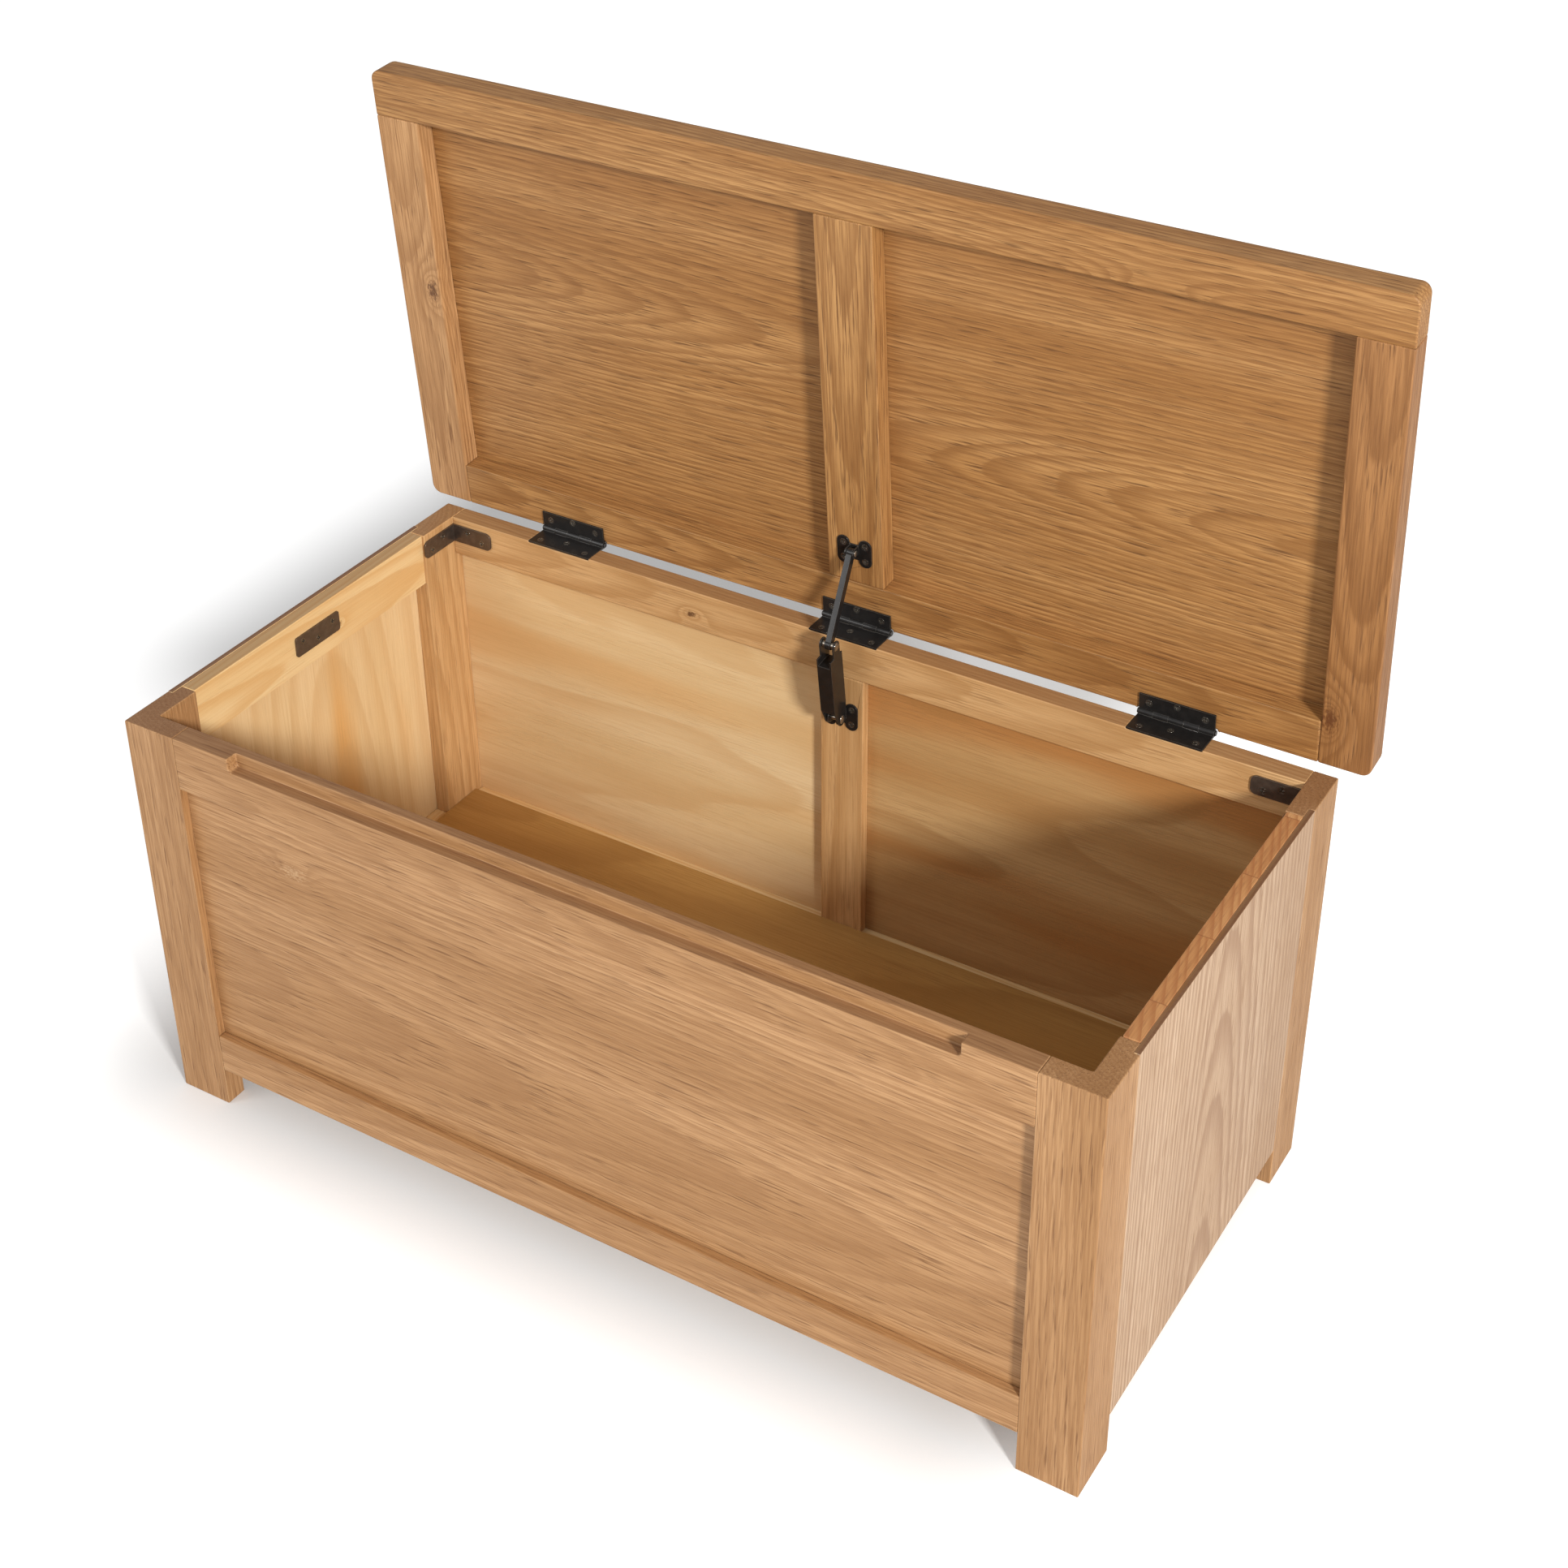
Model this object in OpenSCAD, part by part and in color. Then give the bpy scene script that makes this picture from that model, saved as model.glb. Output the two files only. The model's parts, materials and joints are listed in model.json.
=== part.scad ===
// Wooden toy box with a framed lid, three butt hinges and a folding lid stay.
// The lid is drawn open, as the stay holds it. Millimetres, +Z up, front of the box towards -Y.
// The origin is on the floor, in the middle of the open box's outline.

/* [Box] */
// Width of the box
body_w = 1000; // [900:10:1100]
// Depth of the box, front to back
body_d = 485; // [460:5:520]
// Height of the box without its lid
body_h = 443; // [400:1:500]
// Thickness of the corner posts and the front rails
board_t = 23; // [22.5:0.5:26]

/* [Frame] */
// Width of a corner post seen from the front
post_face = 58.7; // [50:0.1:70]
// Width of a corner post seen from the side
post_side = 71; // [66:1:80]
// Clear height of a foot below the bottom rails
foot_h = 44.5; // [30:0.5:60]
// Height of the bottom rails
low_rail_h = 43.5; // [40:0.5:50]
// Height of the front and side top rails
top_rail_h = 57; // [50:1:65]
// Height of the back top rail
back_rail_h = 44; // [38:1:50]
// Thickness of the back rails
back_t = 22.5; // [22.5:0.5:24]
// Width of the stile in the middle of the back
back_stile_w = 48; // [44:1:60]

/* [Panels] */
// Thickness of the front panel
front_panel_t = 7; // [6:0.5:8]
// How far the front panel lies behind the front face
front_panel_set = 9.5; // [8:0.5:10]
// Thickness of the side panels
side_panel_t = 5.5; // [4:0.5:7]
// Width of the rebate in a post that a side panel laps onto
side_lap = 13; // [10:1:16]
// Thickness of the back panels
back_panel_t = 4; // [3:0.5:5]
// Thickness of the side rails behind the side panels
side_rail_t = 15.5; // [14:0.5:16]
// Thickness of the floor board
floor_t = 6; // [4:1:9]
// Height of the floor's upper face
floor_top = 92; // [86:1:96]

/* [Finger recess] */
// Length of the recess in the front top rail
recess_w = 750; // [600:10:800]
// Height of the recess
recess_h = 14.5; // [10:0.5:20]
// Depth of the recess, front to back
recess_deep = 12.4; // [8:0.2:15]
// Radius of the recess's lower corners
recess_r = 4.5; // [2:0.5:7]

/* [Lid] */
// Width of the lid
lid_w = 1052; // [950:2:1160]
// Depth of the lid from its hinge edge to its front edge
lid_d = 483.5; // [455:0.5:520]
// Thickness of the lid's frame
lid_t = 35; // [33:1:38]
// Width of the lid's outer stiles
lid_stile_w = 50; // [44:1:60]
// Width of the lid's front rail
lid_front_w = 47; // [44:1:60]
// Width of the lid's back rail
lid_back_w = 46.5; // [44:0.5:60]
// Width of the lid's middle stile
lid_mid_w = 61; // [56:1:70]
// Depth of the lid panels below the frame's underside
lid_panel_set = 22; // [20:1:23]
// Thickness of the lid panels
lid_panel_t = 7; // [5:0.5:8]
// Radius along the outer edges of the lid
lid_r = 10; // [3:0.5:12]
// How far the lid is open, in degrees
lid_open = 85.4; // [70:0.2:88]

/* [Hinges] */
// Length of a hinge
hinge_l = 76; // [70:1:84]
// Distance from the middle hinge to an outer one
hinge_pitch = 340; // [300:5:380]
// Outside radius of the knuckles
knuckle_r = 3.75; // [3.5:0.05:4]
// Radius of the hinge pins
hinge_pin_r = 1.5; // [1.3:0.1:1.7]
// Thickness of the leaves
leaf_t = 2; // [1.5:0.1:2]

/* [Stay] */
// Outside width of the stay's housing
housing_w = 16; // [15:0.5:20]
// Width of the stay's arm
arm_w = 6; // [5:0.5:6.5]
// Radius of the rivets in the housing
rivet_r = 2.5; // [2:0.1:3]

/* [Hidden] */
$fn = 48;

// Half sizes and faces of the box
half_w = body_w / 2;
half_d = body_d / 2;
post_in = half_w - board_t;
post_edge = half_w - post_face;
side_edge = half_d - post_side;
lap_edge = side_edge + side_lap;
front_in = half_d - board_t;
back_in = half_d - back_t;
low_top = foot_h + low_rail_h;
top_low = body_h - top_rail_h;
back_low = body_h - back_rail_h;
rail_out = half_w - side_panel_t;
rail_in = rail_out - side_rail_t;

// Grooves that hold the panels
groove = 6;
entry = 5.5;
front_panel_y = -half_d + front_panel_set;
back_panel_y = back_in + 12;

// Hinge axis: just behind the box, just above its top edge
pin_y = half_d + 7.5;
pin_z = body_h + 1.5;
hinge_at = [-hinge_pitch, 0, hinge_pitch];
barrel_gap = 0.6;
knuckles = 5;
pitch = hinge_l / knuckles;
knuckle_gap = 0.15;
pin_gap = 0.05;
pin_head_r = 2.6;
pin_head_t = 1.2;
box_leaf_d = 29.5;
lid_leaf_d = 20.5;
hinge_screw_x = 28;
// Distance of each leaf's screws from the hinge axis: outer two, then the middle one
box_screw_y = [21.5, 14];
lid_screw_y = [12, 16.5];

// Lid in its closed place, measured from the hinge axis
lid_back = -1.5;
lid_low = 1;
lid_front = lid_back - lid_d;
lid_top = lid_low + lid_t;
lid_half = lid_w / 2;
mid_half = lid_mid_w / 2;
lid_back_in = lid_back - lid_back_w;
lid_front_in = lid_front + lid_front_w;

// The outline's middle is at the origin: the open lid's back edge leans out behind the box
open_back = pin_y + (lid_back - lid_r) * cos(lid_open) + (lid_top - lid_r) * sin(lid_open) + lid_r;
shift_y = -(open_back - half_d) / 2;

// Thickness of the square battens under the floor
batten = 20;
// Corner braces and flat plates
plate_t = 2;
brace_l = 50;
brace_h = 20;
brace_z = 425.5;
brace_holes = [[20, 3.5], [38, -3.5]];
flat_l = 65;
flat_h = 22;
flat_z = 414.5;
flat_holes = [[-22, 4], [0, -4], [22, 4]];

// Wood screws with countersunk cross-slot heads
head_r = 3.6;
head_t = 2;
shank_r = 1.75;
screw_l = 13;
screw_gap = 0.05;

// Stay pivots in the plane x = 0: on the box, at the elbow and on the lid
pivot_box = [207.5, 358];
pivot_elbow = [195.5, 449];
pivot_lid = [236.5, 531.5];
housing_l = norm(pivot_elbow - pivot_box);
housing_tilt = atan2(pivot_box[0] - pivot_elbow[0], pivot_elbow[1] - pivot_box[1]);
arm_l = norm(pivot_lid - pivot_elbow);
arm_tilt = atan2(pivot_elbow[0] - pivot_lid[0], pivot_lid[1] - pivot_elbow[1]);
sheet = 1.5;
rivet_gap = 0.05;
rivet_head_r = 4.5;
rivet_head_t = 1.5;
housing_half = housing_w / 2;
housing_front = -12.5;
housing_back = 9.5;
housing_top = 80;
housing_foot = 16;
ear_r = 7;
elbow_r = 6;
web_low = 14;
web_top = 72;
seat_low = 18;
arm_wall = 1;
arm_end_r = 5;
arm_tip_r = 4.6;
arm_half_d = 4;
lid_rivet_r = 1.75;
lid_rivet_head_r = 3.4;
// The arm's hole on the lid is wider than its rivet: the linkage is loose there
lid_slack = 1.3;
box_tab_x = 4.4;
lid_tab_x = 3.6;
wing_x = 12;
wing_r = 7;
wing_rise = 8.5;
wing_hole = 8.5;
wing_drop = 3;
tab_r = 6.5;
spring_r = 4.4;
spring_wire_r = 0.8;
spring_turns = 9;
spring_low = seat_low + sheet + spring_wire_r + 0.1;
spring_top = web_top - sheet - spring_wire_r - 0.1;
spring_steps = 12;
spring_sides = 8;
eps = 0.01;

// Everything that belongs to the box
module placed() {
    translate([0, shift_y, 0]) children();
}

// Children are drawn in the closed lid's place, measured from the hinge axis
module on_lid() {
    placed() translate([0, pin_y, pin_z]) rotate([-lid_open, 0, 0]) children();
}

// A block between two corners
module block(low, high) {
    translate(low) cube(high - low);
}

// The same piece on the left, at -X, or the right, at +X
module on_side(s) {
    if (s > 0) children();
    else mirror([1, 0, 0]) children();
}

// A flat outline with round corners
module round_rect(l, h, r) {
    square([l - 2 * r, h], center = true);
    square([l, h - 2 * r], center = true);
    for (x = [-1, 1], y = [-1, 1]) translate([x * (l / 2 - r), y * (h / 2 - r)]) circle(r);
}

// A screw, or the hole for one, along -Z with its head's flat top at z = 0
module screw_body(gap) {
    translate([0, 0, -head_t]) cylinder(r1 = shank_r + gap, r2 = head_r + gap, h = head_t);
    translate([0, 0, -screw_l - gap]) cylinder(r = shank_r + gap, h = screw_l + gap - head_t + eps);
}

module screw_hole() {
    screw_body(screw_gap);
    cylinder(r = head_r + screw_gap, h = 1);
}

module screw() {
    slot_w = 0.9;
    slot_l = 4.4;
    slot_d = 1.1;
    difference() {
        screw_body(0);
        for (turn = [0, 90]) rotate([0, 0, turn]) translate([0, 0, -slot_d / 2 + eps])
            cube([slot_l, slot_w, slot_d], center = true);
    }
}

// ---- places of the screws ----

// Screws of the leaves on the box: straight down into the back top rail
module at_box_leaf_screws() {
    for (x = hinge_at, i = [-1, 0, 1])
        translate([x + i * hinge_screw_x, pin_y - box_screw_y[i == 0 ? 1 : 0], body_h]) children();
}

// Screws of the leaves on the lid: from its underside up into its back rail
module at_lid_leaf_screws() {
    for (x = hinge_at, i = [-1, 0, 1])
        translate([x + i * hinge_screw_x, -lid_screw_y[i == 0 ? 1 : 0], lid_low - leaf_t])
            rotate([180, 0, 0]) children();
}

// Screws of the back corner braces: one leg on the side, one on the back
module at_brace_screws() {
    for (s = [-1, 1], hole = brace_holes) {
        translate([s * (post_in - plate_t), back_in - hole[0], brace_z + hole[1]])
            rotate([0, -s * 90, 0]) children();
        translate([s * (post_in - hole[0]), back_in - plate_t, brace_z + hole[1]])
            rotate([90, 0, 0]) children();
    }
}

// Screws of the flat plates on the side rails
module at_plate_screws() {
    for (s = [-1, 1], hole = flat_holes)
        translate([s * (rail_in - plate_t), hole[0], flat_z + hole[1]]) rotate([0, -s * 90, 0]) children();
}

// Screws of the stay's bracket on the back middle stile
module at_box_bracket_screws() {
    for (x = [-1, 1], z = [-1, 1])
        translate([x * wing_x, back_in - sheet, pivot_box[1] + z * wing_hole - wing_drop])
            rotate([90, 0, 0]) children();
}

// Distance of the stay's pivot on the lid from the hinge axis, along the closed lid and below it
lid_pin_run = (pivot_lid[0] - pin_y) * cos(lid_open) - (pivot_lid[1] - pin_z) * sin(lid_open);
lid_pin_drop = (pivot_lid[0] - pin_y) * sin(lid_open) + (pivot_lid[1] - pin_z) * cos(lid_open);

// Screws of the stay's bracket on the lid's middle stile
module at_lid_bracket_screws() {
    for (x = [-1, 1], y = [-1, 1])
        translate([x * wing_x, lid_pin_run + y * wing_hole + wing_drop, lid_low - sheet])
            rotate([180, 0, 0]) children();
}

// ---- box: wood ----

// One corner post of the right-hand side; the front ones have a front arm glued to the side board
module post(front) {
    s = front ? 1 : -1;
    difference() {
        union() {
            block([post_in, -half_d, 0], [half_w, -side_edge, body_h]);
            if (front) block([post_edge, -half_d, 0], [post_in, -front_in, body_h]);
        }
        // Rebate that the side panel laps onto, and the step below it at the foot
        block([rail_out, -lap_edge, foot_h], [half_w + 1, -side_edge + 1, body_h + 1]);
        block([post_in - 1, -lap_edge, -1], [half_w + 1, -side_edge + 1, foot_h]);
        // Groove for the front or the back panel
        if (front) block([post_edge - 1, front_panel_y, low_top - groove],
            [post_edge + groove, front_panel_y + front_panel_t, top_low + groove]);
        else block([post_in - 1, -back_panel_y - back_panel_t, low_top - groove],
            [post_in + groove, -back_panel_y, back_low + groove]);
    }
}

module corner_post(front, side) {
    color("burlywood") placed() difference() {
        on_side(side) if (front) post(true); else mirror([0, 1, 0]) post(false);
        at_brace_screws() screw_hole();
    }
}

module front_left_post() { corner_post(true, -1); }
module front_right_post() { corner_post(true, 1); }
module back_left_post() { corner_post(false, -1); }
module back_right_post() { corner_post(false, 1); }

// Outline of the finger recess, open at the top
module recess_outline() {
    translate([-recess_w / 2, recess_r]) square([recess_w, recess_h]);
    translate([-recess_w / 2 + recess_r, 0]) square([recess_w - 2 * recess_r, recess_h]);
    for (x = [-1, 1]) translate([x * (recess_w / 2 - recess_r), recess_r]) circle(recess_r);
}

module front_top_rail() {
    color("burlywood") placed() difference() {
        block([-post_edge, -half_d, top_low], [post_edge, -front_in, body_h]);
        block([-post_edge - 1, front_panel_y, top_low - 1],
            [post_edge + 1, front_panel_y + front_panel_t, top_low + groove]);
        translate([0, -half_d + recess_deep, body_h - recess_h]) rotate([90, 0, 0])
            linear_extrude(recess_deep + 1) recess_outline();
    }
}

module front_bottom_rail() {
    color("burlywood") placed() difference() {
        block([-post_edge, -half_d, foot_h], [post_edge, -front_in, low_top]);
        block([-post_edge - 1, front_panel_y, low_top - groove],
            [post_edge + 1, front_panel_y + front_panel_t, low_top + 1]);
    }
}

module front_panel() {
    color("tan") placed() block([-post_edge - entry, front_panel_y, low_top - entry],
        [post_edge + entry, front_panel_y + front_panel_t, top_low + entry]);
}

module back_top_rail() {
    color("peru") placed() difference() {
        block([-post_in, back_in, back_low], [post_in, half_d, body_h]);
        block([-post_in - 1, back_panel_y, back_low - 1],
            [post_in + 1, back_panel_y + back_panel_t, back_low + groove]);
        for (x = hinge_at) block([x - hinge_l / 2, back_in - 1, body_h - leaf_t],
            [x + hinge_l / 2, half_d + 1, body_h + 1]);
        at_box_leaf_screws() screw_hole();
        at_brace_screws() screw_hole();
    }
}

module back_bottom_rail() {
    color("peru") placed() difference() {
        block([-post_in, back_in, foot_h], [post_in, half_d, low_top]);
        block([-post_in - 1, back_panel_y, low_top - groove],
            [post_in + 1, back_panel_y + back_panel_t, low_top + 1]);
    }
}

module back_middle_stile() {
    stile_half = back_stile_w / 2;
    color("burlywood") placed() difference() {
        block([-stile_half, back_in, low_top], [stile_half, half_d, back_low]);
        for (s = [-1, 1]) on_side(s) block([stile_half - groove, back_panel_y, low_top - 1],
            [stile_half + 1, back_panel_y + back_panel_t, back_low + 1]);
        at_box_bracket_screws() screw_hole();
    }
}

module back_panel(side) {
    color("wheat") placed() on_side(side)
        block([back_stile_w / 2 - entry, back_panel_y, low_top - entry],
            [post_in + entry, back_panel_y + back_panel_t, back_low + entry]);
}

module back_left_panel() { back_panel(-1); }
module back_right_panel() { back_panel(1); }

// The rails behind a side panel, seen from inside the box
module side_rail(side, low, high) {
    color("navajowhite") placed() difference() {
        on_side(side) block([rail_in, -side_edge, low], [rail_out, side_edge, high]);
        at_plate_screws() screw_hole();
    }
}

module left_top_rail() { side_rail(-1, top_low, body_h); }
module right_top_rail() { side_rail(1, top_low, body_h); }
module left_bottom_rail() { side_rail(-1, foot_h, low_top); }
module right_bottom_rail() { side_rail(1, foot_h, low_top); }

module side_panel(side) {
    color("tan") placed() on_side(side)
        block([rail_out, -lap_edge, foot_h], [half_w, lap_edge, body_h]);
}

module left_side_panel() { side_panel(-1); }
module right_side_panel() { side_panel(1); }

floor_half_w = post_in - 0.3;

module floor_panel() {
    color("wheat") placed() block([-floor_half_w, -front_in, floor_top - floor_t],
        [floor_half_w, back_in, floor_top]);
}

// A batten glued to the inside of a bottom rail, under the floor
module floor_batten(y) {
    color("navajowhite") placed() block([-post_edge, y, floor_top - floor_t - batten],
        [post_edge, y + batten, floor_top - floor_t]);
}

module front_floor_batten() { floor_batten(-front_in); }
module back_floor_batten() { floor_batten(back_in - batten); }

// ---- lid: wood, drawn closed and measured from the hinge axis ----

// The lid's outer shape: round outer edges and corners, square on the underside
module lid_envelope() {
    x = lid_half - lid_r;
    y_low = lid_front + lid_r;
    y_high = lid_back - lid_r;
    z = lid_top - lid_r;
    for (grow = [[lid_r, 0], [0, lid_r]])
        block([-x - grow[0], y_low - grow[1], lid_low - 1], [x + grow[0], y_high + grow[1], z]);
    block([-x, y_low, z - 1], [x, y_high, lid_top]);
    for (sx = [-x, x], sy = [y_low, y_high]) translate([sx, sy, lid_low - 1]) {
        cylinder(r = lid_r, h = z - lid_low + 1);
        translate([0, 0, z - lid_low + 1]) sphere(lid_r);
    }
    for (sy = [y_low, y_high]) translate([-x, sy, z]) rotate([0, 90, 0]) cylinder(r = lid_r, h = 2 * x);
    for (sx = [-x, x]) translate([sx, y_low, z]) rotate([-90, 0, 0]) cylinder(r = lid_r, h = y_high - y_low);
}

// The space that a lid panel and its groove take, grown by a rim
module lid_panel_block(side, rim, grow) {
    on_side(side) block([mid_half - rim, lid_front_in - rim, lid_low + lid_panel_set - grow],
        [lid_half - lid_stile_w + rim, lid_back_in + rim, lid_low + lid_panel_set + lid_panel_t + grow]);
}

module lid_grooves() {
    for (side = [-1, 1]) lid_panel_block(side, groove, 0);
}

// Clearance round the hinge barrels
module barrel_room() {
    for (x = hinge_at) translate([x - hinge_l / 2 - 2, 0, 0]) rotate([0, 90, 0])
        cylinder(r = knuckle_r + barrel_gap, h = hinge_l + 4);
}

module lid_front_rail() {
    color("burlywood") on_lid() difference() {
        intersection() {
            block([-lid_half, lid_front, lid_low], [lid_half, lid_front_in, lid_top]);
            lid_envelope();
        }
        lid_grooves();
    }
}

module lid_back_rail() {
    rail_half = lid_half - lid_stile_w;
    color("burlywood") on_lid() difference() {
        intersection() {
            block([-rail_half, lid_back_in, lid_low], [rail_half, lid_back, lid_top]);
            lid_envelope();
        }
        lid_grooves();
        barrel_room();
        at_lid_leaf_screws() screw_hole();
    }
}

module lid_stile(side) {
    color("burlywood") on_lid() difference() {
        intersection() {
            on_side(side) block([lid_half - lid_stile_w, lid_front_in, lid_low], [lid_half, lid_back, lid_top]);
            lid_envelope();
        }
        lid_grooves();
    }
}

module lid_left_stile() { lid_stile(-1); }
module lid_right_stile() { lid_stile(1); }

module lid_middle_stile() {
    color("burlywood") on_lid() difference() {
        block([-mid_half, lid_front_in, lid_low], [mid_half, lid_back_in, lid_top]);
        lid_grooves();
        at_lid_bracket_screws() screw_hole();
    }
}

module lid_left_panel() { color("peru") on_lid() lid_panel_block(-1, entry, 0); }
module lid_right_panel() { color("peru") on_lid() lid_panel_block(1, entry, 0); }

// ---- hinges: knuckles 0, 2 and 4 belong to the box, 1 and 3 to the lid ----

// Rings along the hinge axis for the knuckles from first, every second one
module knuckle_rings(first, r, gap) {
    for (k = [first:2:knuckles - 1])
        translate([-hinge_l / 2 + k * pitch + gap, 0, 0]) rotate([0, 90, 0])
            cylinder(r = r, h = pitch - 2 * gap);
}

// Room round the other leaf's knuckles
module knuckle_room(first) {
    for (k = [first:2:knuckles - 1])
        translate([-hinge_l / 2 + k * pitch - knuckle_gap, -knuckle_r - 0.4, -knuckle_r - 1])
            cube([pitch + 2 * knuckle_gap, 2 * knuckle_r, 2 * knuckle_r + 2]);
}

module pin_bore() {
    translate([-hinge_l / 2 - 1, 0, 0]) rotate([0, 90, 0])
        cylinder(r = hinge_pin_r + pin_gap, h = hinge_l + 2);
}

// A leaf as a flat plate that ends in rings round the pin
module leaf(depth, plate_low, first) {
    difference() {
        union() {
            difference() {
                block([-hinge_l / 2, -depth, plate_low], [hinge_l / 2, 0, plate_low + leaf_t]);
                knuckle_room(1 - first);
            }
            knuckle_rings(first, knuckle_r, first == 0 ? 0 : knuckle_gap);
        }
        pin_bore();
    }
}

module box_leaf(x) {
    color("darkslategray") placed() difference() {
        translate([x, pin_y, pin_z]) leaf(box_leaf_d, body_h - leaf_t - pin_z, 0);
        at_box_leaf_screws() screw_hole();
    }
}

module lid_leaf(x) {
    color("darkslategray") on_lid() difference() {
        translate([x, 0, 0]) leaf(lid_leaf_d, lid_low - leaf_t, 1);
        at_lid_leaf_screws() screw_hole();
    }
}

module left_hinge_box_leaf() { box_leaf(hinge_at[0]); }
module middle_hinge_box_leaf() { box_leaf(hinge_at[1]); }
module right_hinge_box_leaf() { box_leaf(hinge_at[2]); }
module left_hinge_lid_leaf() { lid_leaf(hinge_at[0]); }
module middle_hinge_lid_leaf() { lid_leaf(hinge_at[1]); }
module right_hinge_lid_leaf() { lid_leaf(hinge_at[2]); }

// A hinge pin with a button head at each end
module hinge_pin(x) {
    color("dimgray") placed() translate([x, pin_y, pin_z]) rotate([0, 90, 0]) {
        cylinder(r = hinge_pin_r, h = hinge_l + 2, center = true);
        for (s = [0, 180]) rotate([s, 0, 0]) translate([0, 0, hinge_l / 2 + pin_gap])
            cylinder(r = pin_head_r, h = pin_head_t);
    }
}

module left_hinge_pin() { hinge_pin(hinge_at[0]); }
module middle_hinge_pin() { hinge_pin(hinge_at[1]); }
module right_hinge_pin() { hinge_pin(hinge_at[2]); }
module hinge_box_screws() { color("dimgray") placed() at_box_leaf_screws() screw(); }
module hinge_lid_screws() { color("dimgray") on_lid() at_lid_leaf_screws() screw(); }

// ---- corner braces and flat plates ----

// One leg of a brace along +X from the corner, standing on z = brace_z
module brace_leg() {
    end_r = 6;
    translate([0, plate_t, 0]) rotate([90, 0, 0]) linear_extrude(plate_t) difference() {
        translate([brace_l / 2 - end_r, 0]) round_rect(brace_l + 2 * end_r, brace_h, end_r);
        translate([-4 * end_r, -brace_h]) square([4 * end_r, 2 * brace_h]);
    }
}

// A brace in a back corner of the box
module brace(side) {
    color("gray") placed() difference() {
        on_side(side) translate([post_in, back_in, brace_z]) mirror([0, 1, 0]) {
            mirror([1, 0, 0]) brace_leg();
            rotate([0, 0, 90]) brace_leg();
        }
        at_brace_screws() screw_hole();
    }
}

module back_left_brace() { brace(-1); }
module back_right_brace() { brace(1); }
module brace_screws() { color("dimgray") placed() at_brace_screws() screw(); }

module flat_plate(side) {
    color("gray") placed() difference() {
        translate([side * (rail_in - plate_t / 2), 0, flat_z]) rotate([90, 0, 90])
            translate([0, 0, -plate_t / 2]) linear_extrude(plate_t) round_rect(flat_l, flat_h, 3);
        at_plate_screws() screw_hole();
    }
}

module left_plate() { flat_plate(-1); }
module right_plate() { flat_plate(1); }
module plate_screws() { color("dimgray") placed() at_plate_screws() screw(); }

// ---- stay ----

// Two wings joined in the middle, as a flat outline
module wings() {
    for (x = [-1, 1]) translate([x * wing_x, 0]) {
        square([2 * wing_r, 2 * wing_rise], center = true);
        for (y = [-1, 1]) translate([0, y * wing_rise]) circle(wing_r);
    }
    square([2 * wing_x, 2 * wing_rise], center = true);
}

// A pair of tabs from a plate at y = reach to the pivot at the origin
module tabs(gap_x, r, reach, bore) {
    for (s = [-1, 1]) on_side(s) translate([gap_x, 0, 0]) rotate([90, 0, 90])
        linear_extrude(sheet) difference() {
            union() {
                circle(r);
                translate([0, -r]) square([reach, 2 * r]);
            }
            circle(bore);
        }
}

module stay_box_bracket() {
    reach = back_in - sheet - pivot_box[0];
    color("darkslategray") placed() difference() {
        translate([0, pivot_box[0], pivot_box[1]]) {
            tabs(box_tab_x, tab_r, reach + eps, rivet_r + rivet_gap);
            translate([0, reach + sheet, -wing_drop]) rotate([90, 0, 0]) linear_extrude(sheet) wings();
        }
        at_box_bracket_screws() screw_hole();
    }
}

module stay_lid_bracket() {
    reach = lid_low - sheet - lid_pin_drop;
    color("darkslategray") on_lid() difference() {
        translate([0, lid_pin_run, lid_pin_drop]) {
            rotate([90, 0, 0]) tabs(lid_tab_x, arm_end_r, reach + eps, lid_rivet_r + rivet_gap);
            translate([0, 3, reach]) linear_extrude(sheet) wings();
        }
        at_lid_bracket_screws() screw_hole();
    }
}

module stay_box_screws() { color("dimgray") placed() at_box_bracket_screws() screw(); }
module stay_lid_screws() { color("dimgray") on_lid() at_lid_bracket_screws() screw(); }

// A rivet across the stay, with a domed head at each end
module rivet(r, half_l, head_r) {
    rotate([0, 90, 0]) {
        cylinder(r = r, h = 2 * half_l + 1, center = true);
        for (s = [0, 180]) rotate([s, 0, 0]) translate([0, 0, half_l + rivet_gap]) intersection() {
            cylinder(r = head_r, h = rivet_head_t);
            translate([0, 0, rivet_head_t - 2 * head_r]) sphere(2 * head_r);
        }
    }
}

module stay_box_rivet() {
    color("silver") placed() translate([0, pivot_box[0], pivot_box[1]])
        rivet(rivet_r, housing_half, rivet_head_r);
}

module stay_lid_rivet() {
    color("silver") on_lid() translate([0, lid_pin_run, lid_pin_drop])
        rivet(lid_rivet_r, lid_tab_x + sheet, lid_rivet_head_r);
}

// Children are drawn with the lower pivot at the origin and the elbow straight above it
module at_housing() {
    placed() translate([0, pivot_box[0], pivot_box[1]]) rotate([housing_tilt, 0, 0]) children();
}

// Side of the housing: y to the back, z along it
module housing_side() {
    polygon([[housing_front, housing_top], [housing_back, housing_top], [housing_back, housing_foot],
        [ear_r, 0], [-ear_r, 0], [housing_front, housing_foot]]);
    circle(ear_r);
    translate([-elbow_r, housing_top - 1]) square([2 * elbow_r, housing_l - housing_top + 1]);
    translate([0, housing_l]) circle(elbow_r);
}

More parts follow.
